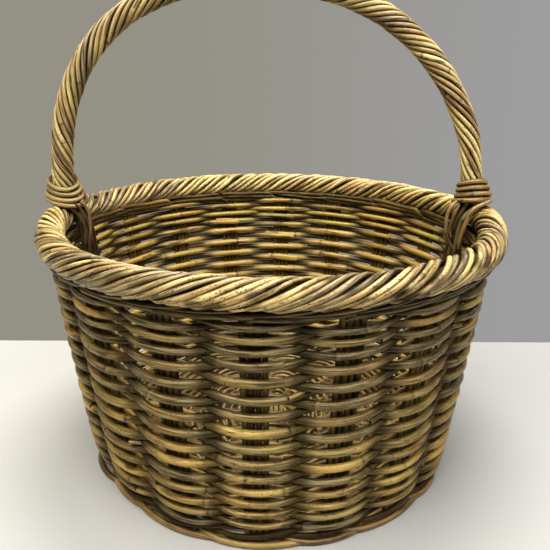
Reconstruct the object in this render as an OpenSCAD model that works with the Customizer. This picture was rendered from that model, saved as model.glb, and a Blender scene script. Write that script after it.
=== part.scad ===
// Round woven basket with a roped rim and a fixed, roped hoop handle.
// The origin is at the middle of the foot, on the surface that the basket stands on.
// The handle spans the basket along X, and +Z is up.

/* [Wall] */
// Height of the rim rope's centre above the floor
rim_height = 219; // [217:1:221]
// Radius of the rim rope's centre
rim_radius = 194; // [193:0.5:196]
// Radius of the circle of stakes at the height of the rim
stake_top_radius = 191; // [190:0.5:191.5]
// Radius of the circle of stakes at the floor
stake_foot_radius = 167; // [166.5:0.5:168]
// Number of stake groups round the wall
bays = 18; // [18:1:18]
// Stakes in one group
stakes_per_group = 4; // [3:1:4]
// Diameter of a stake
stake_d = 4.4; // [3.6:0.1:4.6]
// Spacing of the stakes in one group
stake_pitch = 4.9; // [4.7:0.1:5]

/* [Siding] */
// Rounds of cane woven into the wall
rounds = 30; // [20:1:31]
// Thickness of the weaving cane
weaver_d = 5; // [4:0.1:5.1]
// Distance that a round swings out and in from the stakes
weave_swing = 5.5; // [5.4:0.1:6.2]
// Height of the lowest round
first_round_z = 19.9; // [19.9:0.1:24]
// Height of the highest round
last_round_z = 200.6; // [196:0.1:201]
// Share by which the rounds crowd together near the foot and the rim
crowding = 0.15; // [0:0.01:0.15]

/* [Rim] */
// Outer radius of the rim rope
rope_r = 12; // [11:0.1:12.2]
// Thickness of the canes laid round the rope
rope_cane_d = 4.4; // [4:0.1:4.8]
// Full turns that the rope's lay makes in one circuit
rope_turns = 9; // [6:1:12]
// Diameter of the hoop inside the rope
rim_core_d = 12.4; // [8:0.1:12.6]

/* [Foot and base] */
// Height of the foot border
foot_h = 6.2; // [4:0.1:6.2]
// Mean outer radius of the foot border
foot_r = 168.5; // [167:0.5:169]
// Depth of the scallops round the foot border
foot_scallop = 2.5; // [0:0.1:4]
// Inner radius of the foot border
foot_inner_r = 159.5; // [155:0.5:161]
// Height of the base sticks' centres above the floor
base_z = 11; // [10.4:0.1:11.4]
// Diameter of a base stick
stick_d = 4.6; // [4:0.1:4.6]
// Diameter of the cane woven round the base
base_cane_d = 4; // [3:0.1:4]

/* [Handle] */
// Half of the handle's width where it meets the rim
handle_half_w = 189; // [188:0.5:190]
// Rise of the handle's centre line above the rim rope's centre
handle_rise = 202; // [180:1:220]
// Squareness of the arch, where 2 is an ellipse
handle_power = 2.34; // [2.2:0.01:2.5]
// Sideways offset of the handle's feet
handle_offset = 1.5; // [0:0.5:3]
// Further sideways drift of the handle's crown
handle_lean = -18; // [-20:1:-10]
// Diameter of the bow inside the handle
bow_d = 10.8; // [9:0.1:11]
// Outer radius of the roped handle
handle_r = 10.8; // [10.4:0.1:11]
// Turns that the roping makes from foot to foot, in fifths of a turn
roping_turns = 6.4; // [5.4:1:7.4]
// Height at which the handle's tails end inside the wall
tail_z = 112; // [60:1:150]

/* [Lashings] */
// Diameter of the lashing cane
lash_d = 4.4; // [3:0.1:4.6]
// Turns in the collar at each foot of the handle
collar_turns = 5; // [3:1:5]
// Height of the collar's lowest turn
collar_z = 236.6; // [236.4:0.1:238]

/* [Hidden] */
front = -93.5;
waves = bays / 2;
bay_angle = 360 / bays;
stake_slope = (stake_top_radius - stake_foot_radius) / rim_height;
stake_tilt = atan(stake_slope);
stake_bottom_z = foot_h + 0.2;
stake_top_z = 206.6;
straight_half = bay_angle / 6;
foot_steps = bays * 6;
wale_z = 12;
wale_rise = 2.7;
wale_swing = 5.9;
wale_d = 4.8;
wale_rings = bays * 5;
rope_bundles = 4;
rope_rings = 96;
roping_bundles = 5;
arch_steps = 72;
roping_start_z = 264;
tail_settled_z = 214;
tail_clearance = 2.5;
tail_spacing = 32;
bundle_angle = 360 / roping_bundles;
cane_gap = 0.8;
base_reach = 158;
slath_half = 14;
fan_end = 32;
first_base_ring = 34.75;
base_ring_pitch = 4.3;
base_rings = 29;
slath_spacing = 5.2;

function two_digits(n) = n < 10 ? str("0", n) : str(n);
function unit(v) = v / norm(v);
function mix(a, b, f) = a + (b - a) * f;
function smooth(x) = let (c = min(1, max(0, x))) c * c * (3 - 2 * c);
function polar(r, a, z) = [r * cos(a), r * sin(a), z];
function stake_r(z) = stake_foot_radius + stake_slope * z;
function signed_power(v, p) = sign(v) * pow(abs(v), p);

// Tube sections along a route: a regular polygon square to the route at each point.
function route_tangent(route, i, closed) =
    let (n = len(route), last = n - 1)
    closed ? unit(route[(i + 1) % n] - route[(i + n - 1) % n])
           : unit(route[min(i + 1, last)] - route[max(i - 1, 0)]);
function tube_rings(route, d, sides, reference, closed) =
    [for (i = [0 : len(route) - 1])
        let (t = route_tangent(route, i, closed), u = unit(cross(reference, t)), v = cross(t, u))
        [for (j = [0 : sides - 1]) route[i] + d / 2 * (cos(360 * j / sides) * u + sin(360 * j / sides) * v)]];

// Closed skin over a list of rings, each with the same number of points.
module skin(rings, closed) {
    n = len(rings);
    m = len(rings[0]);
    spans = closed ? n : n - 1;
    sides = [for (i = [0 : spans - 1], j = [0 : m - 1])
        let (a = i * m, b = ((i + 1) % n) * m, k = (j + 1) % m)
        each [[a + j, b + j, b + k], [a + j, b + k, a + k]]];
    caps = closed ? [] : [[for (j = [0 : m - 1]) j], [for (j = [m - 1 : -1 : 0]) (n - 1) * m + j]];
    polyhedron(points = [for (ring = rings) each ring], faces = concat(sides, caps), convexity = 6);
}

// Stakes ---------------------------------------------------------------------------------
module stakes(k) {
    length = (stake_top_z - stake_bottom_z) / cos(stake_tilt);
    color("darkolivegreen")
    rotate([0, 0, front + (k - 1) * bay_angle])
        for (j = [0 : stakes_per_group - 1])
            translate([stake_r(stake_bottom_z), (j - (stakes_per_group - 1) / 2) * stake_pitch,
                       stake_bottom_z])
                rotate([0, stake_tilt, 0])
                    cylinder(h = length, d = stake_d, $fn = 24);
}

// Siding ---------------------------------------------------------------------------------
// Each round passes outside one stake group and inside the next; the next round swaps over.
function round_z(i) =
    let (u = (i - 1) / (rounds - 1))
    mix(first_round_z, last_round_z, u - crowding / (2 * PI) * sin(360 * u));
function weave_side(i) = i % 2 == 0 ? 1 : -1;
// In each bay the cane lies straight over the stakes, then crosses to the other side.
function woven_outline(r, swing) =
    [for (k = [0 : bays - 1], part = [-1 : 1])
        let (a = front + k * bay_angle + (part < 1 ? (2 * part + 1) * straight_half : bay_angle / 2),
             side = k % 2 == 0 ? 1 : -1)
        (r + (part < 1 ? side * swing : 0)) * [cos(a), sin(a)]];

module siding_round(i) {
    swing = weave_side(i) * weave_swing;
    r = stake_r(round_z(i));
    color(i % 3 == 0 ? "tan" : i % 3 == 1 ? "burlywood" : "darkkhaki")
    translate([0, 0, round_z(i) - weaver_d / 2])
        linear_extrude(weaver_d)
            difference() {
                polygon(woven_outline(r + weaver_d / 2, swing));
                polygon(woven_outline(r - weaver_d / 2, swing));
            }
}

// Base and foot --------------------------------------------------------------------------
// A base stick runs straight over the middle, then fans out to its own direction at each end.
function stick_point(m, offset, fan, lift) =
    let (s = abs(m), f = smooth((s - slath_half) / (fan_end - slath_half)))
    [mix(offset, s * sin(fan), f), mix(m, sign(m) * s * cos(fan), f), base_z + lift * (1 - f)];
function stick_route(offset, fan, lift) =
    let (half = [6, slath_half, 18, 23, 28, fan_end, 60, 105, base_reach], n = len(half))
    concat([for (i = [n - 1 : -1 : 0]) stick_point(-half[i], offset, fan, lift)],
           [for (i = [0 : n - 1]) stick_point(half[i], offset, fan, lift)]);

module stick_set(count, lift) {
    for (i = [0 : count - 1]) {
        place = i - (count - 1) / 2;
        route = stick_route(place * slath_spacing, place * bay_angle, lift);
        skin(tube_rings(route, stick_d, 7, [0, 0, 1], false), false);
    }
}

module base_sticks() {
    color("peru") {
        stick_set(5, stick_d / 2 + 0.1);
        rotate([0, 0, 90]) stick_set(4, -stick_d / 2 - 0.1);
    }
}

module base_weave() {
    lift = (stick_d + base_cane_d) / 2 + 0.15;
    color("wheat")
    for (k = [0 : base_rings - 1])
        translate([0, 0, base_z + (k % 2 == 0 ? lift : -lift)])
            rotate_extrude($fn = 96)
                translate([first_base_ring + k * base_ring_pitch, 0])
                    circle(d = base_cane_d, $fn = 16);
}

module foot_border() {
    color("sienna")
    linear_extrude(foot_h)
        difference() {
            polygon([for (k = [0 : foot_steps - 1])
                let (a = 360 * k / foot_steps)
                (foot_r + foot_scallop * cos(bays * (a - front))) * [cos(a), sin(a)]]);
            circle(r = foot_inner_r, $fn = 96);
        }
}

// Two canes that twist round each other between the stake groups.
module upsett_wale() {
    color("saddlebrown")
    for (side = [-1, 1])
        skin(tube_rings(
            [for (k = [0 : wale_rings - 1])
                let (a = 360 * k / wale_rings, phase = waves * (a - front))
                polar(stake_r(wale_z) + side * wale_swing * cos(phase), a,
                      wale_z + side * wale_rise * sin(phase))],
            wale_d, 5, [0, 0, 1], true), true);
}

// Rim ------------------------------------------------------------------------------------
module rim_core() {
    color("peru")
    translate([0, 0, rim_height])
        rotate_extrude($fn = 180)
            translate([rim_radius, 0])
                circle(d = rim_core_d, $fn = 32);
}

// One flat bundle of canes at angle a round the rope, as a bent oval about the hoop's centre.
function rope_ring(azimuth, a, half_angle) =
    let (lay = rope_r - rope_cane_d / 2)
    [for (j = [0 : 5])
        let (r = lay + rope_cane_d / 2 * cos(60 * j), b = a - half_angle * sin(60 * j))
        polar(rim_radius + r * cos(b), azimuth, rim_height + r * sin(b))];

module rim_rope() {
    half_angle = 180 / rope_bundles * 1.08;
    color("goldenrod")
    for (k = [0 : rope_bundles - 1])
        skin([for (i = [0 : rope_rings - 1])
            let (azimuth = 360 * i / rope_rings)
            rope_ring(azimuth, rope_turns * azimuth + 360 * k / rope_bundles, half_angle)], true);
}

// Handle ---------------------------------------------------------------------------------
// Centre line of the arch at angle t, from 180 at the left foot to 0 at the right foot.
function arch_point(t) =
    let (rise = signed_power(sin(t), 2 / handle_power))
    [handle_offset + handle_lean * rise + handle_half_w * signed_power(cos(t), 2 / handle_power), 0,
     rim_height + handle_rise * rise];
// Below the collar the leg leans in to pass the rim rope and follow the inside of the wall.
function leg_arch_x(z, side) =
    let (rise = (z - rim_height) / handle_rise)
    handle_offset + handle_lean * rise
    + side * handle_half_w * pow(1 - pow(max(rise, 0), handle_power), 1 / handle_power);
function leg_inner_x(z, side) =
    side * (stake_r(z) - weave_swing - weaver_d / 2 - tail_clearance - bow_d / 2);
function leg_settled(z) = smooth((roping_start_z - z) / (roping_start_z - tail_settled_z));
function leg_point(z, side) =
    [mix(leg_arch_x(z, side), leg_inner_x(z, side), leg_settled(z)), 0, z];

leg_heights = concat([tail_z, 145, 175, 200], [for (step = [0 : 7]) 212 + 6.75 * step]);
arch_first_t = asin(pow((roping_start_z - rim_height) / handle_rise, handle_power / 2));
bow_route = concat(
    [for (z = leg_heights) leg_point(z, -1)],
    [for (i = [0 : arch_steps]) arch_point(mix(180 - arch_first_t, arch_first_t, i / arch_steps))],
    [for (i = [len(leg_heights) - 1 : -1 : 0]) leg_point(leg_heights[i], 1)]);
// Distance along the bow's arch, from the left collar, at each point of the route.
function on_arch(i) = i >= len(leg_heights) && i < len(leg_heights) + arch_steps;
arch_lengths = [for (i = 0, s = 0; i < len(bow_route);
    s = s + (on_arch(i) ? norm(bow_route[i + 1] - bow_route[i]) : 0),
    i = i + 1) s];
arch_length = arch_lengths[len(bow_route) - 1];

module handle_bow() {
    color("sienna")
    skin(tube_rings(bow_route, bow_d, 8, [0, 1, 0], false), false);
}

// Below the collar the bundles thin to single canes and gather on the bow's inner side.
function gathered(angle, f) =
    let (home = 360 * round(angle / 360)) home + (angle - home) * mix(1, tail_spacing / bundle_angle, f);
function roping_ring(i, k) =
    let (at = bow_route[i], t = route_tangent(bow_route, i, false),
         toward = [0, -1, 0], inward = cross(t, toward),
         f = at[2] < roping_start_z ? smooth((roping_start_z - at[2]) / 26) : 0,
         centre = gathered(bundle_angle * k + 360 * roping_turns * arch_lengths[i] / arch_length, f),
         half_angle = mix(37, 16, f),
         half_thickness = (handle_r - bow_d / 2 - cane_gap) / 2,
         lay = handle_r - half_thickness)
    [for (j = [0 : 5])
        let (r = lay + half_thickness * cos(60 * j), a = centre - half_angle * sin(60 * j))
        at + r * (cos(a) * inward + sin(a) * toward)];

module handle_roping() {
    color("goldenrod")
    for (k = [-2 : 2])
        skin([for (i = [0 : len(bow_route) - 1]) roping_ring(i, k)], false);
}

// Lashings -------------------------------------------------------------------------------
// The collar's turns tighten towards the top, and its lower end hangs down inside the wall.
left_tail = [[-164, -6, 233], [-160, -8, 225], [-157, -9, 214], [-156, -9, 202], [-156, -8, 190]];
right_tail = [[161, -7, 233], [157, -10, 225], [154, -11, 214], [153, -10, 202], [154, -9, 190]];
function collar_route(side) =
    [for (a = [0 : 36 : 360 * collar_turns])
        let (f = a / (360 * collar_turns),
             z = collar_z + (1 - f) * collar_turns * (lash_d + 0.3),
             r = handle_r + lash_d / 2 + mix(0.5, 3.2, f))
        [leg_point(z, side)[0] - side * r * cos(a), -r * sin(a), z]];

module lashing(side, tail) {
    route = concat(collar_route(side), tail);
    color("wheat")
    skin(tube_rings(route, lash_d, 5, [side, 0, 1], false), false);
}

module lashing_left() {
    lashing(-1, left_tail);
}

module lashing_right() {
    lashing(1, right_tail);
}

for (k = [1 : bays])
    stakes(k);
for (i = [1 : rounds])
    siding_round(i);
base_sticks();
base_weave();
foot_border();
upsett_wale();
rim_core();
rim_rope();
handle_bow();
handle_roping();
lashing_left();
lashing_right();
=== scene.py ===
"""Looks of the woven market basket: every cane is its own swept tube, in metres, in the CAD frame.

Azimuths are degrees about +Z from +X, so the front is near -90. Every cane carries four things for its
material: the place along and across the cane, the cane's tones, whose lightness holds painted light and
shade in places, how far away the nearest node ring is, and how much dirt and painted shade lie there.
"""
import math

import bpy
import numpy as np
from mathutils import Matrix, Vector


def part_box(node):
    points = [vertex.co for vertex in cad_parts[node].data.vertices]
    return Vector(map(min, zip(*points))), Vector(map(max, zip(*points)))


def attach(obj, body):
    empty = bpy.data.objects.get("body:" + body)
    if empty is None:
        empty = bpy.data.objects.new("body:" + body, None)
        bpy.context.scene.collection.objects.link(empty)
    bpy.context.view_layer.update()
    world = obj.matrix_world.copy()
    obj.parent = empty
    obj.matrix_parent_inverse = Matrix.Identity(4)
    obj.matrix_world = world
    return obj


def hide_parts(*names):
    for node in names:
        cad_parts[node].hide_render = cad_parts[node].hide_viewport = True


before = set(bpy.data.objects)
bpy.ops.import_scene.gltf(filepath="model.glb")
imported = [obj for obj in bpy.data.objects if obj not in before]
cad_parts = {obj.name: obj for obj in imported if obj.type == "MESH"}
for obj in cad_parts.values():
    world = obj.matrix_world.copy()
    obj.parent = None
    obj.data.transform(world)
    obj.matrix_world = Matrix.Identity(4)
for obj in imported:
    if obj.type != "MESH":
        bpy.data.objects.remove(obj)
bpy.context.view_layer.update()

MM = 0.001
SEED = 20611


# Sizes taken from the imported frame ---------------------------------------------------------
def node_box(node):
    low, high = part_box(node)
    return np.array(low), np.array(high)


def round_name(i):
    return f"siding_round_{i:02d}"


ROUNDS = sum(1 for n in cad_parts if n.startswith("siding_round_"))
BAYS = sum(1 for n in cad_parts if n.startswith("stakes_"))
WAVES = BAYS / 2
BAY = 360 / BAYS
core_low, core_high = node_box("rim_core")
RIM_Z = (core_low[2] + core_high[2]) / 2
RIM_R = (core_high[0] - core_low[0]) / 2 - (core_high[2] - core_low[2]) / 2
TAIL_Z = node_box("handle_bow")[0][2]

# Wall: the stakes come in groups of four, and the first group stands at FRONT.
FRONT = -93.5
STAKE_FOOT_R = 167 * MM
STAKE_TOP_R = 191 * MM
STAKE_D = 4.8 * MM
STAKE_PITCH = 4.9 * MM
STAKES = 4
# How far the strokes of the siding swing in and out, and sag or rise, past the wall's middle.
SWING = 5.5 * MM
DIP = 1.65 * MM
WEAVER_D = 5 * MM
# Rim: the rope's radius, how often a cane would go round it in one lap, and how many canes do so.
ROPE_R = 12 * MM
ROPE_TURNS = 9
BORDER_CANES = 120
BORDER_PIECES = 12
# Blackened places on the rim: azimuth, half width and depth of stain.
STAINS = ((292.5, 5.0, 0.9), (273.5, 5.5, 0.8))
# Floor.
BASE_Z = 11 * MM
BASE_ROUNDS = 29
BINDING_ROUNDS = 4


# Curves and directions -----------------------------------------------------------------------
def smooth(x):
    c = np.clip(x, 0, 1)
    return c * c * (3 - 2 * c)


def mix(a, b, f):
    return a + (b - a) * f


def cosine(degrees):
    return np.cos(np.radians(degrees))


def sine(degrees):
    return np.sin(np.radians(degrees))


def unit(v):
    return v / np.linalg.norm(v, axis=-1, keepdims=True)


def polar(r, azimuth, z):
    return np.stack(np.broadcast_arrays(r * cosine(azimuth), r * sine(azimuth), z), axis=-1).astype(float)


def waver(rng, x, period, terms=4):
    """A smooth random wave of about unit height along x, whose shortest wave is one period."""
    total = np.zeros_like(x, float)
    for k in range(terms):
        length = period * (1 + 1.7 * k)
        total += np.sin(x * 2 * math.pi / length + rng.uniform(0, 2 * math.pi)) * rng.uniform(0.5, 1)
    return total / terms ** 0.5


def curve_through(knots, steps=12):
    """A smooth curve that passes through every knot."""
    knots = np.asarray(knots, float)
    padded = np.concatenate([2 * knots[:1] - knots[1:2], knots, 2 * knots[-1:] - knots[-2:-1]])
    t = np.linspace(0, 1, steps, endpoint=False)[:, None]
    parts = []
    for a, b, c, d in zip(padded, padded[1:], padded[2:], padded[3:]):
        square = a - 2.5 * b + 2 * c - d / 2
        cube = 1.5 * (b - c) + (d - a) / 2
        parts.append(b + t * (c - a) / 2 + t ** 2 * square + t ** 3 * cube)
    return np.concatenate(parts + [knots[-1:]])


# Canes ---------------------------------------------------------------------------------------
# Node rings stand this far apart, and swell this far to each side.
NODE_GAP = (0.08, 0.22)
NODE_REACH = 1.9 * MM
# Stands for the distance to a node ring on a cut end, so that the material can tell it apart.
CUT_END = 9.0


class Canes:
    """Collects swept canes, then turns them into one mesh object."""

    def __init__(self):
        self.points, self.faces, self.at, self.tone, self.ring, self.dirt_and_shade = [], [], [], [], [], []
        self.count = 0

    def _add(self, points, faces, at, tone, ring, dirt_and_shade):
        self.points.append(points)
        self.faces.extend((np.asarray(f) + self.count).tolist() for f in faces)
        self.at.append(at)
        self.tone.append(tone)
        self.ring.append(ring)
        self.dirt_and_shade.append(dirt_and_shade)
        self.count += len(points)

    def cane(self, rng, route, d, up, sides=12, shade=0.5, tips=(1.0, 1.0), tip_length=6 * MM,
             swell=0.09, out=None, groove_shade=0.0, grime_and_shade=0.0):
        """Sweeps one cane of thickness d along its route.

        up is a vector, or one for each point, that the section is squared to. tips is the share of the
        thickness left at each end, and swell the share added at a node ring. shade is the cane's lightness,
        from 0 to about 1: its own tone, and in places painted light and shade. grime is its dirt and painted
        shade, from 0 to 1. Each is one number or one for each point. Where out is given, the groove value
        paints shade on the sides that don't face that way.
        """
        route = np.asarray(route, float)
        n = len(route)
        steps = np.linalg.norm(np.diff(route, axis=0), axis=1)
        s = np.concatenate([[0], np.cumsum(steps)])
        tangent = unit(np.gradient(route, axis=0))
        u = unit(np.cross(np.broadcast_to(up, route.shape), tangent))
        v = np.cross(tangent, u)
        spots = [rng.uniform(0, NODE_GAP[1])]
        while spots[-1] < s[-1]:
            spots.append(spots[-1] + rng.uniform(*NODE_GAP))
        spots = np.array(spots)
        away = s[:, None] - spots[None, :]
        nearest = np.abs(away).argmin(axis=1)
        away = away[np.arange(n), nearest]
        piece_tone = rng.uniform(0, 1, len(spots) + 1)
        internode = piece_tone[np.searchsorted(spots, s)]
        r = d / 2 * (1 + swell * np.exp(-(away / NODE_REACH) ** 2) + 0.025 * waver(rng, s, 30 * MM))
        first_tip = mix(tips[0], 1, smooth(s / tip_length))
        last_tip = mix(tips[1], 1, smooth((s[-1] - s) / tip_length))
        r = r * np.minimum(first_tip, last_tip)
        theta = np.arange(sides) * 2 * math.pi / sides
        oval = 1 + 0.03 * np.cos(2 * theta + rng.uniform(0, 6.3))
        c, q = np.cos(theta) * oval, np.sin(theta) * oval
        section = c[None, :, None] * u[:, None] + q[None, :, None] * v[:, None]
        rings = route[:, None] + r[:, None, None] * section
        start = rng.uniform(0, 9)
        at = np.empty((n, sides, 3))
        at[..., 0] = (s + start)[:, None]
        at[..., 1] = r[:, None] * c
        at[..., 2] = r[:, None] * q
        tone = np.empty((n, sides, 3))
        tone[..., 0] = rng.uniform(0, 1)
        tone[..., 1] = np.maximum(np.reshape(shade, (-1, 1)) + rng.uniform(-0.12, 0.12), 0)
        tone[..., 2] = internode[:, None]
        ring = np.broadcast_to(away[:, None], (n, sides))
        dirt_and_shade = np.broadcast_to(np.reshape(grime_and_shade, (-1, 1)), (n, sides)).astype(float)
        if out is not None:
            facing = (section * np.asarray(out)[:, None, :]).sum(axis=2)
            dirt_and_shade = dirt_and_shade + np.reshape(groove_shade, (-1, 1)) * smooth((0.86 - facing) / 0.60)
        base = np.arange(n - 1)[:, None] * sides + np.arange(sides)[None, :]
        nxt = np.arange(n - 1)[:, None] * sides + (np.arange(sides)[None, :] + 1) % sides
        quads = np.stack([base, nxt, nxt + sides, base + sides], axis=-1).reshape(-1, 4)
        dirt_and_shade = np.clip(dirt_and_shade, 0, 1)
        self._add(rings.reshape(-1, 3), quads, at.reshape(-1, 3), tone.reshape(-1, 3),
                  ring.reshape(-1), dirt_and_shade.reshape(-1))
        for end, sign in ((0, -1), (n - 1, 1)):
            self._cap(rings[end], tangent[end] * sign, route[end], at[end], tone[end], dirt_and_shade[end], sign)

    def _cap(self, ring, out, centre, at, tone, dirt_and_shade, sign):
        """A cut end: a slightly domed disc with its own sharp edge. sign is -1 at the cane's start."""
        sides = len(ring)
        r = np.linalg.norm(ring - centre, axis=1).mean()
        inner = centre + (ring - centre) * 0.55 + out * r * 0.12
        middle = centre + out * r * 0.15
        points = np.concatenate([ring, inner, middle[None]])
        j = np.arange(sides)
        k = (j + 1) % sides
        band = np.stack([j, k, k + sides, j + sides], axis=-1)
        fan = np.stack([j + sides, k + sides, np.full(sides, 2 * sides)], axis=-1)
        if sign < 0:
            band, fan = band[:, ::-1], fan[:, ::-1]
        cap_at = np.concatenate([at, at, at[:1]])
        cap_tone = np.concatenate([tone, tone, tone[:1]])
        cap_dirt_and_shade = np.concatenate([dirt_and_shade, dirt_and_shade, dirt_and_shade[:1]])
        cut = np.full(2 * sides + 1, CUT_END)
        self._add(points, list(band) + list(fan), cap_at, cap_tone, cut, cap_dirt_and_shade)

    def piece(self, name, material, slot, *nodes):
        """Makes the mesh object, which takes the place of the CAD nodes that are named."""
        mesh = bpy.data.meshes.new(name)
        mesh.from_pydata(np.concatenate(self.points).tolist(), [], self.faces)
        mesh.polygons.foreach_set("use_smooth", np.ones(len(mesh.polygons), bool))
        for label, kind, field, data in (
            ("cane_at", "FLOAT_VECTOR", "vector", np.concatenate(self.at)),
            ("cane_tone", "FLOAT_VECTOR", "vector", np.concatenate(self.tone)),
            ("cane_ring", "FLOAT", "value", np.concatenate(self.ring)),
            ("cane_dirt_and_shade", "FLOAT", "value", np.concatenate(self.dirt_and_shade)),
        ):
            attribute = mesh.attributes.new(label, kind, "POINT")
            attribute.data.foreach_set(field, np.ascontiguousarray(data, np.float32).ravel())
        mesh.materials.append(material)
        made = bpy.data.objects.new(name, mesh)
        bpy.context.scene.collection.objects.link(made)
        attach(made, "root")
        if nodes:
            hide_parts(*nodes)
        return made


# Materials -----------------------------------------------------------------------------------
class Tree:
    """Short helpers for building a node tree."""

    def __init__(self, name):
        self.material = bpy.data.materials.new(name)
        self.material.use_nodes = True
        self.nodes = self.material.node_tree.nodes
        self.links = self.material.node_tree.links
        self.shader = self.nodes["Principled BSDF"]

    def node(self, kind, **settings):
        made = self.nodes.new(kind)
        for key, value in settings.items():
            setattr(made, key, value)
        return made

    def put(self, socket, value):
        if isinstance(value, bpy.types.NodeSocket):
            self.links.new(value, socket)
        else:
            socket.default_value = value

    def math(self, operation, a, b=0.0, clamp=False):
        made = self.node("ShaderNodeMath", operation=operation, use_clamp=clamp)
        self.put(made.inputs[0], a)
        self.put(made.inputs[1], b)
        return made.outputs[0]

    def scaled(self, vector, scale):
        made = self.node("ShaderNodeVectorMath", operation="MULTIPLY")
        self.put(made.inputs[0], vector)
        made.inputs[1].default_value = scale
        return made.outputs[0]

    def noise(self, vector, detail=3.0, rough=0.55):
        made = self.node("ShaderNodeTexNoise")
        self.put(made.inputs["Vector"], vector)
        made.inputs["Scale"].default_value = 1.0
        made.inputs["Detail"].default_value = detail
        made.inputs["Roughness"].default_value = rough
        return made.outputs["Fac"]

    def ranged(self, value, low, high, to_low=0.0, to_high=1.0):
        made = self.node("ShaderNodeMapRange", interpolation_type="SMOOTHSTEP")
        for socket, number in zip(made.inputs[:5], (value, low, high, to_low, to_high)):
            self.put(socket, number)
        return made.outputs["Result"]

    def blend(self, factor, a, b, kind="MIX"):
        made = self.node("ShaderNodeMix", data_type="RGBA", blend_type=kind)
        self.put(made.inputs[0], factor)
        for socket, colour in ((made.inputs[6], a), (made.inputs[7], b)):
            self.put(socket, colour if isinstance(colour, bpy.types.NodeSocket) else (*colour, 1.0))
        return made.outputs[2]

    def ramp(self, value, colours):
        made = self.node("ShaderNodeValToRGB")
        stops = made.color_ramp.elements
        while len(stops) < len(colours):
            stops.new(0.5)
        for i, colour in enumerate(colours):
            stops[i].position = i / (len(colours) - 1)
            stops[i].color = (*colour, 1.0)
        self.put(made.inputs[0], value)
        return made.outputs["Color"]


def times(colour, share):
    return tuple(c * share for c in colour)


# The hues that single canes lean to: greenish, straw, orange and dun.
HUES = [(0.56, 0.68, 0.26), (0.72, 0.62, 0.36), (0.86, 0.54, 0.36), (0.68, 0.57, 0.42)]
# Light is mirrored in the cane's skin with a tinge of straw.
SKIN_TINT = (1.0, 0.86, 0.58, 1.0)


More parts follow.
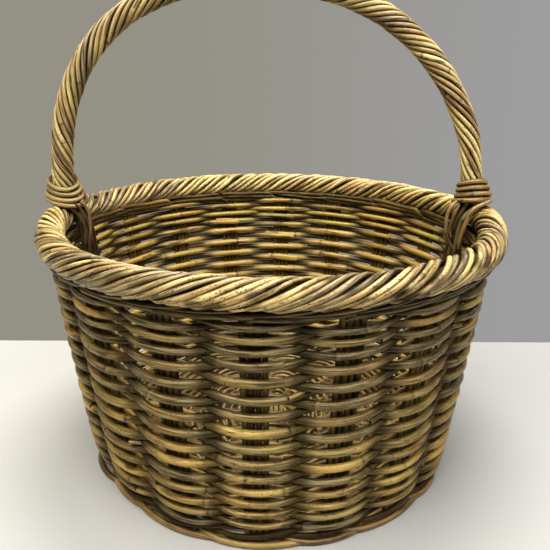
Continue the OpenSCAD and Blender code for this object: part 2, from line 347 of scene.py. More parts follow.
def cane_material(name, tones, pale, stain, stain_share, dots, gloss, rough=(0.34, 0.60)):
    """Peeled cane. tones runs from the darkest canes to the lightest, and pale is worn grain.

    stain is the colour of the brown patches and stain_share how much of the cane they cover. dots is how
    crowded the specks are, gloss the weight of the coat, and rough the roughness of worn and dull grain.
    """
    t = Tree(name)
    at = t.node("ShaderNodeAttribute", attribute_name="cane_at").outputs["Vector"]
    tone = t.node("ShaderNodeSeparateXYZ")
    t.put(tone.inputs[0], t.node("ShaderNodeAttribute", attribute_name="cane_tone").outputs["Vector"])
    own, shade, internode = tone.outputs
    ring = t.node("ShaderNodeAttribute", attribute_name="cane_ring").outputs["Fac"]
    dirt_and_shade = t.node("ShaderNodeAttribute", attribute_name="cane_dirt_and_shade").outputs["Fac"]
    streak = t.noise(t.scaled(at, (45, 1000, 1000)), 4, 0.6)
    fibre = t.noise(t.scaled(at, (160, 4200, 4200)), 2, 0.6)
    patch = t.noise(t.scaled(at, (38, 190, 190)), 3, 0.6)
    drift = t.noise(t.scaled(at, (16, 60, 60)), 2, 0.5)
    tint = t.noise(t.scaled(at, (24, 110, 110)), 2, 0.5)
    # The tone of each cane drifts along it and steps at each node. Its lightness also carries the painted
    # light and shade that are set where the canes are built.
    level = t.math("ADD", t.math("MULTIPLY", shade, 0.72), t.math("MULTIPLY", internode, 0.12))
    level = t.math("ADD", level, t.ranged(drift, 0.3, 0.7, -0.24, 0.26), True)
    colour = t.ramp(level, tones)
    lean = t.math("ADD", t.math("MULTIPLY", own, 0.7), t.ranged(tint, 0.3, 0.7, -0.15, 0.45), True)
    colour = t.blend(0.55, colour, t.ramp(lean, HUES), "SOFT_LIGHT")
    colour = t.blend(t.ranged(streak, 0.36, 0.66, 0.0, 0.42), colour, pale)
    colour = t.blend(t.ranged(fibre, 0.44, 0.74, 0.0, 0.34), colour, stain)
    edge = 0.62 - stain_share * 0.2
    colour = t.blend(t.ranged(patch, edge, edge + 0.1, 0.0, 0.78), colour, stain)
    # Pores and small dark specks, in clusters.
    specks = t.node("ShaderNodeTexVoronoi", feature="F1")
    t.put(specks.inputs["Vector"], t.scaled(at, (460, 680, 680)))
    specks.inputs["Scale"].default_value = 1.0
    speck = t.ranged(specks.outputs["Distance"], 0.20, 0.40, 1.0, 0.0)
    edge = 0.62 - dots * 0.16
    crowd = t.ranged(t.noise(t.scaled(at, (60, 260, 260)), 3, 0.6), edge, edge + 0.1)
    speck = t.math("MULTIPLY", speck, crowd)
    dark = times(stain, 0.22)
    colour = t.blend(t.math("MULTIPLY", speck, 0.85), colour, dark)
    # Node rings: a thin dark line in a smudge, strong on some nodes, with a pale band on one side.
    wobble = t.ranged(streak, 0.3, 0.7, -0.4 * MM, 0.4 * MM)
    line = t.ranged(t.math("ABSOLUTE", t.math("ADD", ring, wobble)), 0.2 * MM, 0.8 * MM, 1.0, 0.0)
    smudge = t.ranged(t.math("ABSOLUTE", ring), 0.4 * MM, 3.2 * MM, 0.5, 0.0)
    line = t.math("MAXIMUM", line, smudge)
    strength = t.math("MULTIPLY", t.ranged(internode, 0.1, 0.6, 0.25, 1.0),
                      t.ranged(patch, 0.35, 0.6, 0.5, 1.0))
    line = t.math("MULTIPLY", line, strength)
    band = t.math("MULTIPLY", t.ranged(ring, 0.6 * MM, 1.2 * MM),
                  t.ranged(ring, 2.2 * MM, 4.6 * MM, 1.0, 0.0))
    colour = t.blend(t.math("MULTIPLY", band, 0.15), colour, pale)
    colour = t.blend(line, colour, dark)
    # Cut ends are brown pith.
    colour = t.blend(t.ranged(ring, CUT_END / 2 - 0.5, CUT_END / 2 + 0.5), colour, times(stain, 0.75))
    # Dirt and stains, and painted shade between and beneath the canes, darken the colour.
    grime_and_shade = t.math("MULTIPLY", dirt_and_shade, t.ranged(streak, 0.3, 0.7, 0.80, 0.97), True)
    colour = t.blend(grime_and_shade, colour, times(stain, 0.25))
    t.put(t.shader.inputs["Base Color"], colour)
    worn = t.math("ADD", t.ranged(streak, 0.3, 0.7, rough[0], rough[1]), t.math("MULTIPLY", speck, 0.2))
    worn = t.math("ADD", worn, t.math("MULTIPLY", grime_and_shade, 0.3), True)
    t.put(t.shader.inputs["Roughness"], worn)
    # Dirt and painted shade also take away the gloss.
    clean_and_unshaded = t.math("SUBTRACT", 1.0, grime_and_shade)
    t.put(t.shader.inputs["Specular IOR Level"], t.math("MULTIPLY", clean_and_unshaded, 0.75))
    t.shader.inputs["Specular Tint"].default_value = SKIN_TINT
    t.put(t.shader.inputs["Coat Weight"], t.math("MULTIPLY", clean_and_unshaded, gloss))
    t.shader.inputs["Coat Roughness"].default_value = 0.28
    height = t.math("ADD", t.math("MULTIPLY", streak, 0.6), t.math("MULTIPLY", fibre, 0.3))
    height = t.math("SUBTRACT", height, t.math("MULTIPLY", speck, 0.5))
    height = t.math("SUBTRACT", height, t.math("MULTIPLY", line, 1.2))
    bump = t.node("ShaderNodeBump")
    bump.inputs["Strength"].default_value = 0.6
    bump.inputs["Distance"].default_value = 0.5 * MM
    t.put(bump.inputs["Height"], height)
    t.put(t.shader.inputs["Normal"], bump.outputs[0])
    return t.material


WEAVING = cane_material(
    "weaving_cane",
    tones=[(0.012, 0.006, 0.002), (0.048, 0.027, 0.005), (0.130, 0.084, 0.018), (0.40, 0.285, 0.082)],
    pale=(0.56, 0.44, 0.185), stain=(0.026, 0.013, 0.006), stain_share=0.3, dots=0.8, gloss=0.12,
    rough=(0.27, 0.5))
STAKE = cane_material(
    "stake_cane",
    tones=[(0.034, 0.028, 0.010), (0.076, 0.062, 0.022), (0.14, 0.112, 0.040), (0.22, 0.175, 0.065)],
    pale=(0.25, 0.20, 0.08), stain=(0.022, 0.015, 0.007), stain_share=0.4, dots=0.5, gloss=0.05,
    rough=(0.5, 0.75))
BASE = cane_material(
    "base_cane",
    tones=[(0.022, 0.011, 0.004), (0.048, 0.030, 0.008), (0.088, 0.059, 0.014), (0.14, 0.099, 0.025)],
    pale=(0.18, 0.130, 0.04), stain=(0.028, 0.014, 0.007), stain_share=0.3, dots=0.5, gloss=0.10)
FOOT = cane_material(
    "foot_cane",
    tones=[(0.038, 0.019, 0.006), (0.10, 0.056, 0.016), (0.19, 0.116, 0.034), (0.31, 0.205, 0.068)],
    pale=(0.40, 0.28, 0.12), stain=(0.040, 0.016, 0.007), stain_share=0.3, dots=0.25, gloss=0.28)
RIM = cane_material(
    "rim_cane",
    tones=[(0.028, 0.015, 0.005), (0.090, 0.056, 0.018), (0.27, 0.190, 0.066), (0.66, 0.515, 0.225)],
    pale=(0.86, 0.72, 0.40), stain=(0.036, 0.018, 0.009), stain_share=0.40, dots=1.15, gloss=0.34)
HANDLE = cane_material(
    "handle_cane",
    tones=[(0.050, 0.027, 0.011), (0.145, 0.088, 0.032), (0.33, 0.235, 0.090), (0.80, 0.63, 0.310)],
    pale=(0.95, 0.79, 0.47), stain=(0.045, 0.020, 0.011), stain_share=0.3, dots=0.4, gloss=0.4)
LASHING = cane_material(
    "lashing_cane",
    tones=[(0.050, 0.029, 0.011), (0.130, 0.083, 0.030), (0.25, 0.175, 0.070), (0.44, 0.33, 0.150)],
    pale=(0.58, 0.46, 0.25), stain=(0.05, 0.026, 0.012), stain_share=0.3, dots=0.5, gloss=0.34)


# Wall ----------------------------------------------------------------------------------------
def wall_r(z):
    return STAKE_FOOT_R + (STAKE_TOP_R - STAKE_FOOT_R) * z / RIM_Z


def drawn_in(z, azimuth):
    """How far the foot of the wall is drawn in on the left."""
    left = smooth(1.6 * cosine(azimuth - 190) - 0.6)
    return 4.5 * MM * left * smooth((45 * MM - z) / (42 * MM))


def behind(azimuth):
    """From 0 in front to 1 at the back."""
    return smooth(0.5 + 0.8 * sine(azimuth))


def build_stakes(rng):
    low, high = node_box("stakes_01")
    for k in range(BAYS):
        canes = Canes()
        azimuth = FRONT + k * BAY
        across = polar(1, azimuth + 90, 0)
        for j in range(STAKES):
            z = np.linspace(low[2], high[2] + 2 * MM, 52)
            side = (j - (STAKES - 1) / 2) * STAKE_PITCH + 0.25 * MM * waver(rng, z, 90 * MM)
            route = polar(wall_r(z) - drawn_in(z, azimuth), azimuth, z) + across * side[:, None]
            canes.cane(rng, route, STAKE_D * rng.uniform(0.9, 1.04), across, 10, rng.uniform(0.2, 0.8))
        canes.piece(f"stake_group_{k + 1:02d}", STAKE, "stake_cane", f"stakes_{k + 1:02d}")


def weave_wave(azimuth):
    """From 1 outside a stake group to -1 inside the next, a little flatter than a cosine at its ends."""
    c = cosine(WAVES * (azimuth - FRONT))
    return c * (1.16 - 0.16 * c * c)


def settled(z):
    """The rounds close up beneath the rope and open out a little below that."""
    opened = 2 * MM * np.exp(-((z - 167 * MM) / (15 * MM)) ** 2)
    return z - 2.2 * MM * smooth((z - 178 * MM) / (20 * MM)) + opened


def dip(z, azimuth):
    """How far outer strokes sag and inner strokes rise: most at the top in front, least there behind."""
    return DIP * mix(0.75 + 0.5 * z / RIM_Z, 1.25 - 0.55 * z / RIM_Z, behind(azimuth))


def build_siding(rng):
    """Each round is one to three lengths, whose ends lap in front of a stake group or behind it.

    Known fault: the two ends of a lap run into each other.
    """
    boxes = [node_box(round_name(i)) for i in range(1, ROUNDS + 1)]
    heights = [settled((low[2] + high[2]) / 2) for low, high in boxes]
    for i, (z, pitch) in enumerate(zip(heights, np.gradient(heights)), start=1):
        thick = np.clip(0.96 * pitch, 5.2 * MM, 6.6 * MM)
        side = 1 if i % 2 == 0 else -1
        canes = Canes()
        lengths = rng.integers(1, 4)
        first = FRONT + BAY * rng.integers(0, BAYS) + rng.uniform(-3, 3)
        breaks = np.sort(rng.choice(np.arange(3, BAYS - 2), lengths - 1, False)) * BAY
        joints = first + np.concatenate([[0], breaks, [360.0]])
        for a0, a1 in zip(joints[:-1], joints[1:]):
            lap = rng.uniform(4, 7, 2)
            azimuth = np.arange(a0 - lap[0], a1 + lap[1], 0.75)
            d = thick * rng.uniform(0.90, 1.03) * mix(1.0, 1.05, 0.5 + 0.5 * sine(azimuth))
            wave = side * weave_wave(azimuth)
            from_start = smooth(1 - (azimuth - azimuth[0]) / 11)
            from_end = smooth(1 - (azimuth[-1] - azimuth) / 11)
            r = wall_r(z) - drawn_in(z, azimuth) + SWING * wave * (1 + 0.05 * waver(rng, azimuth, 40))
            r = r + from_end * rng.uniform(0.3, 1.6) * MM - from_start * 0.8 * MM
            height = z + 0.4 * MM * waver(rng, azimuth, 50) - wave * dip(z, azimuth)
            height = height + (from_end * 1.7 - from_start * 1.5) * MM
            # Painted shade where a stroke dives between its neighbours, fainter at the back.
            back = behind(azimuth)
            grime_and_shade = (0.85 + 0.15 * wave) * mix(0.80, 0.45, back) * smooth(1.25 - 1.8 * np.abs(wave))
            # Strokes are lighter inside the basket, and lighter still at the back as painted light, though
            # less so low down near the floor, as painted shade. Outside, their crowns get a painted
            # highlight, and in front they darken towards the rope as a painted shadow of the rope.
            low_down = smooth((85 * MM - z) / (60 * MM))
            high_up = smooth((z - 100 * MM) / (50 * MM))
            ahead = smooth(-1.8 * sine(azimuth) - 0.7)
            shade = rng.uniform(0.0, 0.90) + (0.42 + mix(0.72, 0.40, low_down) * back) * smooth(0.3 - wave)
            shade = shade - 0.07 - 0.32 * ahead * high_up + 0.26 * smooth((wave - 0.45) / 0.5)
            canes.cane(rng, polar(r, azimuth, height), d, (0, 0, 1), 12, shade, grime_and_shade=grime_and_shade)
        canes.piece(f"weaver_{i:02d}", WEAVING, "weaving_cane", round_name(i))


# Radius and height, in millimetres, of each lane that the canes take beneath the rope.
TUCK_LANES = ((196.6, 203.9), (194.0, 206.6), (184.6, 204.8), (184.0, 208.8), (190.5, 204.2), (187.0, 200.9))
TUCK_FROM_Z = 198 * MM
TRIMMED_ENDS = 46


def build_tucks(rng):
    """Six canes lean over from each stake group and run beneath the rope to the next, each in a lane."""
    canes = Canes()
    for k in range(BAYS):
        for j, (lane_r, lane_z) in enumerate(TUCK_LANES):
            f = np.linspace(0, 1, 34)
            azimuth = FRONT + k * BAY + (j - 2) * 1.3 + f * rng.uniform(21, 25)
            out = smooth(f / 0.16)
            r = mix(wall_r(TUCK_FROM_Z + MM), lane_r * MM, out) + 0.35 * MM * waver(rng, f, 0.5)
            z = mix(TUCK_FROM_Z, lane_z * MM, out) + rng.uniform(0.5, 2.2) * MM * smooth((f - 0.45) / 0.5)
            z = z + 0.3 * MM * waver(rng, f, 0.5)
            # The tucked canes get painted shade beneath the rope.
            canes.cane(rng, polar(r, azimuth, z), rng.uniform(3.8, 4.6) * MM, (0, 0, 1), 10,
                       rng.uniform(0.0, 0.8), (0.9, 0.6), 12 * MM, grime_and_shade=0.35)
    canes.piece("tucked_stakes", WEAVING, "weaving_cane")


def build_scraps(rng):
    """Trimmed ends that stand out of the wall where the canes cross."""
    canes = Canes()
    for _ in range(TRIMMED_ENDS):
        azimuth = FRONT + BAY * (rng.integers(0, BAYS) + 0.5) + rng.uniform(-2, 2)
        z = rng.uniform(30, 196) * MM
        way = rng.choice([-1, 1])
        reach = np.linspace(0, 1, 8)
        length = rng.uniform(9, 17) * MM
        azimuths = azimuth + way * np.degrees(length / wall_r(z)) * reach
        r = wall_r(z) - drawn_in(z, azimuths) + mix(-1.0, rng.uniform(3.0, 6.5), reach) * MM
        canes.cane(rng, polar(r, azimuths, z + rng.uniform(-2, 2) * MM * reach), rng.uniform(2.6, 4.0) * MM,
                   (0, 0, 1), 10, rng.uniform(0.2, 0.9))
    canes.piece("trimmed_ends", WEAVING, "weaving_cane")


# Rim -----------------------------------------------------------------------------------------
def rope_point(azimuth, lay, radius):
    """A point on the rope, which is lifted a little where it passes each foot of the handle."""
    lift = 4.5 * MM * smooth((np.abs(cosine(azimuth)) - 0.94) / 0.055)
    return polar(RIM_R + radius * cosine(lay), azimuth, RIM_Z + lift + radius * sine(lay))


def build_rim(rng):
    """The border: each cane comes up from beneath the rope, passes once round it and tucks under again."""
    turn = 360 / ROPE_TURNS
    per_piece = BORDER_CANES // BORDER_PIECES
    passed = 0.95
    for g in range(BORDER_PIECES):
        canes = Canes()
        for p in range(g * per_piece, (g + 1) * per_piece):
            d = rng.uniform(4.1, 5.0) * MM
            t = np.linspace(0, passed, 70)
            start = rng.uniform(-84, -50)
            azimuth = p * 360 / BORDER_CANES + rng.uniform(-0.45, 0.45) + turn * t + start / ROPE_TURNS
            lay = start + 360 * t + 5 * waver(rng, t, 0.6)
            # Each cane turns slowest at the rope's outer foot, so it lies flattest there.
            lay = lay - 24 * sine(lay + 45)
            dive = 1.9 * smooth(1 - t / 0.07) + 2.6 * smooth(1 - (passed - t) / 0.1)
            radius = ROPE_R - d / 2 - rng.uniform(-0.5, 0.5) * MM - dive * MM
            radius = radius + 0.3 * MM * waver(rng, t, 0.4)
            route = rope_point(azimuth, lay, radius)
            outward = unit(route - rope_point(azimuth, lay, 0 * radius))
            # Water has blackened some of the canes at the front and the front right.
            stained = rng.choice([0.0, 0.5, 1.0]) * sum(
                depth * np.exp(-((azimuth - centre) / width) ** 2) for centre, width, depth in STAINS)
            # The front is the most handled: darker on the whole, with brown blots and bright worn canes. The
            # back is lighter as painted light from above, and the grooves between the canes get painted
            # shade, deepest in front.
            worn = smooth(1.2 * cosine(azimuth + 70))
            groove_shade = mix(0.12, 1.0, smooth(0.6 - 0.8 * sine(azimuth)))
            blots = 0.85 * worn * smooth(0.9 * waver(rng, t, 0.16) - 0.15)
            shade = rng.uniform(0.0, 1.0) * mix(0.4, 1.0, worn) + mix(0.78, 0.02, worn)
            shade = shade - 0.09 * smooth(1.5 * cosine(azimuth - 185) - 0.4)
            grime_and_shade = stained * (0.6 + 0.4 * waver(rng, t, 0.06)) + blots
            canes.cane(rng, route, d, outward, 12, shade, (0.45, 0.4), 12 * MM, out=outward, groove_shade=groove_shade,
                       grime_and_shade=grime_and_shade)
        nodes = ("rim_rope",) if g == 0 else ()
        canes.piece(f"border_canes_{g + 1:02d}", RIM, "rim_cane", *nodes)
    # More canes lie almost level beneath the rope and then along its outer foot. They get painted shade
    # beneath the rope and in their grooves.
    canes = Canes()
    for k in range(BAYS * 2):
        f = np.linspace(0, 1, 40)
        azimuth = k * BAY / 2 + rng.uniform(-2, 2) + f * rng.uniform(24, 32)
        lay = mix(-94, -42, f) + 3 * waver(rng, f, 0.7)
        radius = (9.2 + 2.4 * np.sin(math.pi * f) ** 0.7 + rng.uniform(-0.3, 0.4)) * MM
        route = rope_point(azimuth, lay, radius)
        outward = unit(route - rope_point(azimuth, lay, 0 * radius))
        canes.cane(rng, route, rng.uniform(3.8, 4.6) * MM, outward, 12, rng.uniform(0.1, 0.8), (0.5, 0.4),
                   16 * MM, out=outward, groove_shade=0.95, grime_and_shade=0.5)
    canes.piece("border_runners", RIM, "rim_cane")


# Handle --------------------------------------------------------------------------------------
# The arch is half a superellipse, which leans towards its crown. side is -1 at the left and 1 at the right.
HALF_W, RISE, POWER, OFFSET, LEAN = 189 * MM, 202 * MM, 2.34, 1.5 * MM, -18 * MM
BOW_D = 10.4 * MM
# Between these heights the legs bend in to run down beside the wall, this far inside the weave.
LEG_START, LEG_SETTLED = 248 * MM, 213 * MM
TAIL_CLEARANCE = 1.5 * MM
# Roping: its outer radius, its canes, and how often they go round the bow between the legs.
HANDLE_R = 9.7 * MM
ROPING_CANES = 10
LAY_TURNS = 6
# All the roping canes run down into the collar, and every second one runs on inside the wall.
ROPING_END_Z = 236 * MM


def leg_shift(z, side):
    """The right foot of the arch stands a little further in than the curve would set it."""
    return -1.9 * (side + 1) * MM * smooth((300 * MM - z) / (40 * MM))


def arch_x(z, side):
    rise = np.clip((z - RIM_Z) / RISE, 0, 1)
    return OFFSET + LEAN * rise + side * HALF_W * (1 - rise ** POWER) ** (1 / POWER) + leg_shift(z, side)


def leg_x(z, side):
    inner = side * (wall_r(z) - SWING - WEAVER_D / 2 - TAIL_CLEARANCE - BOW_D / 2)
    return mix(arch_x(z, side), inner, smooth((LEG_START - z) / (LEG_START - LEG_SETTLED)))


def handle_route(step=2.2 * MM):
    """The bow's centre line at even steps, and how far along the arch each point is, from 0 to 1."""
    z = np.linspace(TAIL_Z, LEG_START, 120)
    left = np.stack([leg_x(z, -1), 0 * z, z], axis=-1)
    right = np.stack([leg_x(z, 1), 0 * z, z], axis=-1)[::-1]
    first = math.asin(((LEG_START - RIM_Z) / RISE) ** (POWER / 2))
    t = np.linspace(math.pi - first, first, 900)[1:-1]
    rise = np.sin(t) ** (2 / POWER)
    x = OFFSET + LEAN * rise + HALF_W * np.sign(np.cos(t)) * np.abs(np.cos(t)) ** (2 / POWER)
    z = RIM_Z + RISE * rise
    x = x + leg_shift(z, np.sign(x - LEAN))
    arch = np.stack([x, 0 * x, z], axis=-1)
    route = np.concatenate([left, arch, right])
    s = np.concatenate([[0], np.cumsum(np.linalg.norm(np.diff(route, axis=0), axis=1))])
    even = np.linspace(0, s[-1], int(s[-1] / step))
    route = np.stack([np.interp(even, s, route[:, i]) for i in range(3)], axis=-1)
    along = (even - s[len(left)]) / (s[len(left) + len(arch)] - s[len(left)])
    return route, along


def build_handle(rng):
    route, along = handle_route()
    tangent = unit(np.gradient(route, axis=0))
    toward = np.broadcast_to((0.0, -1.0, 0.0), route.shape)
    inward = np.cross(tangent, toward)
    arch = np.clip(along, 0, 1)
    # The lay is tighter above the left collar and past the crown, and longest above the right collar.
    density = 0.93 + 0.27 * smooth((0.12 - arch) / 0.08)
    density = density + 0.27 * smooth((arch - 0.5) / 0.1) - 0.42 * smooth((arch - 0.76) / 0.1)
    turned = np.concatenate([[0], np.cumsum(density[1:] * np.diff(arch))])
    turned = turned / turned[-1] * LAY_TURNS * 360
    # In the legs the canes straighten and gather side by side on the inner half of the bow.
    gather = smooth((LEG_START - route[:, 2]) / (26 * MM))
    whole_turns = np.where(along < 0.5, 0, 360 * LAY_TURNS)
    for k in range(ROPING_CANES):
        canes = Canes()
        d = rng.uniform(4.0, 4.5) * MM
        phase = (k - (ROPING_CANES - 1) / 2) * 360 / ROPING_CANES
        angle = phase + turned + 2.5 * waver(rng, arch * 0.65, 0.12)
        tail = k % 2 == 0
        place = (k // 2 - 2) * 32 + (0 if tail else 16)
        angle = mix(angle, whole_turns + place, gather)[:, None]
        radius = HANDLE_R - d / 2 - rng.uniform(-0.1, 0.45) * MM + 0.15 * MM * waver(rng, arch * 0.65, 0.05)
        radius = radius - 0.1 * MM * gather
        out = cosine(angle) * inward + sine(angle) * toward
        points = route + radius[:, None] * out
        keep = route[:, 2] > (rng.uniform(112, 150) * MM if tail else ROPING_END_Z)
        # Painted shadow darkens the canes low in the legs, the right of the arch is lighter as painted
        # light, and the grooves between the canes get painted shade.
        shadow = 0.85 * smooth((240 * MM - route[keep, 2]) / (22 * MM))
        shade = rng.uniform(0.1, 0.95) - 0.06 + 0.28 * smooth((arch[keep] - 0.65) / 0.2)
        canes.cane(rng, points[keep], d, out[keep], 14, shade, out=out[keep], groove_shade=0.95, grime_and_shade=shadow)
        nodes = ("handle_roping",) if k == 0 else ()
        canes.piece(f"roping_cane_{k + 1:02d}", HANDLE, "handle_cane", *nodes)
    bow = Canes()
    bow.cane(rng, route[::2], BOW_D, (0, 1, 0), 16, 0.1, swell=0.02)
    bow.piece("bow", STAKE, "handle_cane", "handle_bow")


LASH_D, LASH_TURNS, COLLAR_BOTTOM = 4.6 * MM, 4, 237.0 * MM
# Loose ends of each lashing: thickness, shade, how much darker they are made, and the places they pass
# through, in millimetres.
LEFT_LOOPS = (
    (3.0, 0.3, 0.35, ((-172, -14, 239), (-168, -13, 235), (-165, -13, 226), (-166, -13, 206),
                      (-170, -10, 190))),
    (2.6, 0.2, 0.5, ((-176, -15, 238), (-172, -14, 231), (-170, -14, 218), (-171, -13, 200))),
)
RIGHT_LOOPS = (
    (4.0, 0.8, 0.0, ((200, -4, 242), (194, -15, 241), (180, -19, 235), (175, -17, 222), (173, -13, 207),
                     (173, -10, 196))),
    (3.4, 0.45, 0.1, ((167, -9, 240), (162, -12, 236), (159, -12, 227), (159, -13, 213), (162, -13, 204),
                      (168, -12, 195))),
    (2.6, 0.3, 0.3, ((169, -13, 238), (164, -14, 226), (162, -14, 214), (164, -14, 208))),
)


def build_lashing(rng, side, name, dip_in, nod, loops):
    """A collar of turns round the leg, wider towards the rim, and loose ends that hang inside.

    dip_in is how far the turns drop on the inner side, in millimetres, and nod how steeply they drop
    towards the front, in degrees.
    """
    a = np.arange(0, 360 * LASH_TURNS + 1, 9.0) - 90
    f = (a - a[0]) / (a[-1] - a[0])
    r = mix(11.0, 16.8, f) * MM + 0.3 * MM * waver(rng, f, 0.13)
    z = COLLAR_BOTTOM + (1 - f) * LASH_TURNS * (LASH_D + 0.4 * MM) - dip_in * MM * cosine(a)
    z = z - r * np.tan(np.radians(nod * mix(1.0, 0.5, f))) * sine(a)
    turns = np.stack([leg_x(z, side) - side * r * cosine(a), -r * sine(a), z], axis=-1)
    canes = Canes()
    outward = polar(1, np.where(side > 0, 180 + a, -a), 0)
    # The turns get painted shade in the grooves between them.
    canes.cane(rng, turns, LASH_D, (0.05 * side, 0.02, 1), 12, 0.75, out=outward, groove_shade=0.9)
    for d, shade, grime_and_shade, knots in loops:
        route = curve_through(np.array(knots) * MM)
        canes.cane(rng, route, d * MM, (0, 1, 0.1), 12, shade, (0.8, 0.7), grime_and_shade=grime_and_shade)
    canes.piece(f"{name}_cane", LASHING, "lashing_cane", name)


# Foot and base -------------------------------------------------------------------------------
# The foot's canes lie in arcs between these radii. One arc, at this azimuth, has sprung out.
ARC_END_R, ARC_MIDDLE_R, SPRUNG_R = 165.2 * MM, 171.6 * MM, 177.0 * MM
SPRUNG_AT = FRONT + 303


def build_foot(rng):
    canes = Canes()
    joints = FRONT + BAY / 3 + BAY * np.arange(BAYS + 1) + rng.uniform(-5, 5, BAYS + 1)
    joints[-1] = joints[0] + 360
    for a0, a1 in zip(joints[:-1], joints[1:]):
        azimuth = np.linspace(a0 - 4, a1 + 4, 44)
        f = np.sin(np.linspace(0, math.pi, 44))
        sprung = abs((a0 + a1) / 2 - SPRUNG_AT) < BAY / 2
        r = mix(ARC_END_R, SPRUNG_R if sprung else ARC_MIDDLE_R, f ** 0.6) - 0.75 * drawn_in(0, azimuth)
        z = mix(5.2, 2.7, smooth((azimuth - azimuth[0]) / 8)) * MM + (1.5 * MM * f if sprung else 0)
        canes.cane(rng, polar(r, azimuth, z), rng.uniform(4.6, 5.3) * MM, (0, 0, 1), 14,
                   0.05 if sprung else rng.uniform(0.35, 0.95), (0.75, 0.75))
    inner = np.arange(0, 362, 1.2)
    canes.cane(rng, polar(162.2 * MM, inner, 3.1 * MM), 5 * MM, (0, 0, 1), 12, 0.5)
    canes.piece("foot_canes", FOOT, "foot_cane", "foot_border")


WALE_Z = 12 * MM


def build_wale(rng):
    """Two canes twist round each other, one stake group between each half turn."""
    canes = Canes()
    for side in (-1, 1):
        azimuth = np.arange(20, 384, 0.8)
        phase = WAVES * (azimuth - FRONT)
        r = wall_r(WALE_Z) - drawn_in(WALE_Z, azimuth) + side * 4.2 * MM * cosine(phase)
        z = WALE_Z + side * 2.7 * MM * sine(phase)
        # The wale gets painted shade, so it reads as a dark gap above the foot.
        canes.cane(rng, polar(r, azimuth, z), 4.2 * MM, (0, 0, 1), 12, 0.3, grime_and_shade=0.6)
    canes.piece("upsett_canes", BASE, "base_cane", "upsett_wale")


def build_base(rng):
    """Five sticks cross over four and fan out, and rounds of cane bind them and then fill the floor.

    Known fault: the rounds of the floor rise and dip half way between the sticks, and pass through the
    sticks themselves, because their wave is half a bay out of step with the sticks.
    """
    canes = Canes()
    for count, lift, crosswise in ((5, 2.4 * MM, False), (4, -2.4 * MM, True)):
        for i in range(count):
            place = i - (count - 1) / 2
            m = np.linspace(-158, 158, 120) * MM
            s = np.abs(m)
            f = smooth((s - 14 * MM) / (18 * MM))
            fan = math.radians(place * BAY)
            x = mix(place * 5.2 * MM, s * math.sin(fan), f)
            y = mix(m, np.sign(m) * s * math.cos(fan), f)
            z = BASE_Z + lift * (1 - f)
            if crosswise:
                x, y = -y, x
            canes.cane(rng, np.stack([x, y, z], axis=-1), 4.5 * MM, (0, 0, 1), 10, rng.uniform(0.2, 0.8))
    canes.piece("base_spokes", STAKE, "stake_cane", "base_sticks")
    weave = Canes()
    # The binding rounds take the crossed sticks group by group.
    for j in range(BINDING_ROUNDS):
        azimuth = np.arange(0, 364, 3.0)
        height = (6.4, -1.9)[j % 2] * MM
        route = polar((18.6 + 4.1 * j) * MM, azimuth, BASE_Z - height * cosine(2 * azimuth))
        weave.cane(rng, route, 4.0 * MM, (0, 0, 1), 10, rng.uniform(0.3, 0.95))
    for k in range(BASE_ROUNDS):
        start = rng.uniform(0, 360)
        azimuth = np.arange(start, start + 360 + rng.uniform(4, 12), max(1.2, 55 / (35 + k * 4.3)))
        away = 1 if k % 2 == 0 else -1
        r = (34.75 + 4.3 * k) * MM + 0.35 * MM * waver(rng, azimuth, 60)
        route = polar(r, azimuth, BASE_Z + away * 4.2 * MM * cosine(WAVES * azimuth))
        weave.cane(rng, route, 4.5 * MM * rng.uniform(0.96, 1.05), (0, 0, 1), 10, rng.uniform(0.3, 0.95))
    weave.piece("base_canes", BASE, "base_cane", "base_weave")


# Stage, light and camera ----------------------------------------------------------------------
BACKDROP_LEFT, BACKDROP_RIGHT = (0.280, 0.267, 0.228), (0.318, 0.318, 0.326)
ROOM, CEILING = (0.12, 0.115, 0.105), (0.45, 0.44, 0.41)
FLOOR_TONES, FLOOR_SHADED_RIGHT = ((0.412, 0.409, 0.385), (0.432, 0.428, 0.408)), (0.345, 0.338, 0.333)
FLOOR_SIDE, FLOOR_NEAR, FLOOR_FAR = 1.3, -1.3, 0.2
LIT_POINT = (0, 0, 0.15)


def build_stage():
    """A pale table top that ends just behind the basket's foot."""
    mesh = bpy.data.meshes.new("floor")
    corners = [(-FLOOR_SIDE, FLOOR_NEAR, 0), (FLOOR_SIDE, FLOOR_NEAR, 0),
               (FLOOR_SIDE, FLOOR_FAR, 0), (-FLOOR_SIDE, FLOOR_FAR, 0)]
    mesh.from_pydata(corners, [], [(0, 1, 2, 3)])
    floor = bpy.data.objects.new("floor", mesh)
    bpy.context.scene.collection.objects.link(floor)
    t = Tree("floor")
    place = t.node("ShaderNodeNewGeometry").outputs["Position"]
    cloud = t.noise(t.scaled(place, (3, 3, 3)), 4, 0.6)
    split = t.node("ShaderNodeSeparateXYZ")
    t.put(split.inputs[0], place)
    pale = t.blend(t.ranged(cloud, 0.3, 0.7), *FLOOR_TONES)
    # Painted shade: the floor grows darker towards the right.
    across = t.ranged(split.outputs[0], -0.3, 0.5)
    t.put(t.shader.inputs["Base Color"], t.blend(across, pale, FLOOR_SHADED_RIGHT))
    t.shader.inputs["Roughness"].default_value = 0.6
    mesh.materials.append(t.material)


def area_light(name, place, size, power, colour):
    """A round lamp that faces the middle of the basket."""
    data = bpy.data.lights.new(name, "AREA")
    data.shape = "DISK"
    data.size = size
    data.energy = power
    data.color = colour
    lamp = bpy.data.objects.new(name, data)
    bpy.context.scene.collection.objects.link(lamp)
    lamp.location = place
    lamp.rotation_mode = "QUATERNION"
    lamp.rotation_quaternion = (Vector(LIT_POINT) - Vector(place)).to_track_quat("-Z", "Y")


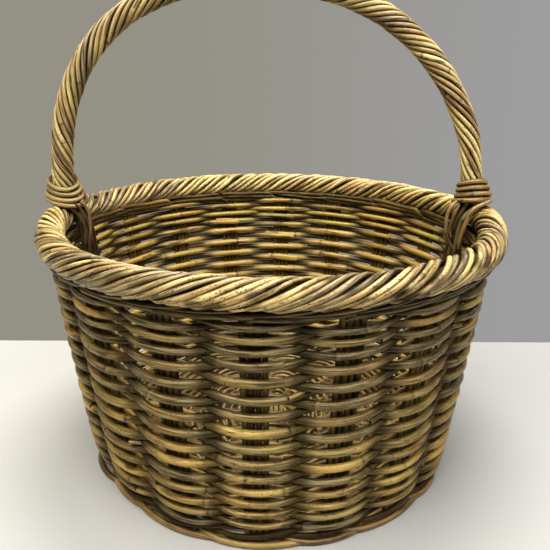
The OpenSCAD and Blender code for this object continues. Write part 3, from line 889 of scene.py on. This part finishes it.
def build_light():
    """A grey wall behind the basket, a dim room in front of it, and a bright soft ceiling."""
    world = bpy.data.worlds.new("studio")
    world.use_nodes = True
    tree = world.node_tree
    split = tree.nodes.new("ShaderNodeSeparateXYZ")
    tree.links.new(tree.nodes.new("ShaderNodeTexCoord").outputs["Generated"], split.inputs[0])

    def across(axis, low, high, start, end):
        """Blends from one colour to the other between two values of the direction's axis."""
        ranged = tree.nodes.new("ShaderNodeMapRange")
        ranged.interpolation_type = "SMOOTHSTEP"
        tree.links.new(split.outputs[axis], ranged.inputs[0])
        ranged.inputs[1].default_value, ranged.inputs[2].default_value = low, high
        blend = tree.nodes.new("ShaderNodeMix")
        blend.data_type = "RGBA"
        tree.links.new(ranged.outputs[0], blend.inputs[0])
        for socket, colour in ((blend.inputs[6], start), (blend.inputs[7], end)):
            if isinstance(colour, bpy.types.NodeSocket):
                tree.links.new(colour, socket)
            else:
                socket.default_value = (*colour, 1)
        return blend.outputs[2]

    backdrop = across(0, -0.25, 0.55, BACKDROP_LEFT, BACKDROP_RIGHT)
    walls = across(1, -0.1, 0.5, ROOM, backdrop)
    tree.links.new(across(2, 0.25, 0.8, walls, CEILING), tree.nodes["Background"].inputs["Color"])
    bpy.context.scene.world = world
    bpy.context.scene.view_settings.view_transform = "Standard"
    bpy.context.scene.view_settings.look = "Medium High Contrast"
    area_light("key", (-0.45, -0.75, 1.7), 1.3, 34, (1.0, 0.97, 0.91))
    area_light("fill", (0.75, -0.8, 1.5), 1.2, 17, (0.96, 0.97, 1.0))
    area_light("top", (0.1, 0.35, 1.8), 0.9, 27, (1.0, 0.98, 0.94))


def build_camera():
    """A hand-held camera in front of the basket, above its rim, that looks down a little."""
    data = bpy.data.cameras.new("camera")
    data.sensor_width = 36
    data.lens = 38.6313
    data.clip_start, data.clip_end = 0.01, 50
    camera = bpy.data.objects.new("camera", data)
    bpy.context.scene.collection.objects.link(camera)
    yaw, pitch, roll = 0.0042, 0.3330, 0.0055
    forward = np.array([math.sin(yaw) * math.cos(pitch), math.cos(yaw) * math.cos(pitch), -math.sin(pitch)])
    right = unit(np.cross(forward, (0, 0, 1)))
    up = np.cross(right, forward)
    tilted = right * math.cos(roll) + up * math.sin(roll)
    top = up * math.cos(roll) - right * math.sin(roll)
    turn = Matrix((tilted, top, -forward)).transposed()
    camera.rotation_mode = "QUATERNION"
    camera.rotation_quaternion = turn.to_quaternion()
    camera.location = (0.84 * MM, -535.6 * MM, 350.9 * MM)
    bpy.context.scene.camera = camera


build_camera()
build_stage()
build_light()
build_stakes(np.random.default_rng(SEED + 1))
build_siding(np.random.default_rng(SEED + 2))
build_scraps(np.random.default_rng(SEED + 3))
build_tucks(np.random.default_rng(SEED + 11))
build_rim(np.random.default_rng(SEED + 4))
build_handle(np.random.default_rng(SEED + 5))
build_lashing(np.random.default_rng(SEED + 6), -1, "lashing_left", 3.6, 22, LEFT_LOOPS)
build_lashing(np.random.default_rng(SEED + 7), 1, "lashing_right", 1.8, -22, RIGHT_LOOPS)
build_foot(np.random.default_rng(SEED + 8))
build_wale(np.random.default_rng(SEED + 9))
build_base(np.random.default_rng(SEED + 10))
# The rope hides the core hoop, which keeps its CAD shape.
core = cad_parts["rim_core"]
core.data.materials.clear()
core.data.materials.append(STAKE)
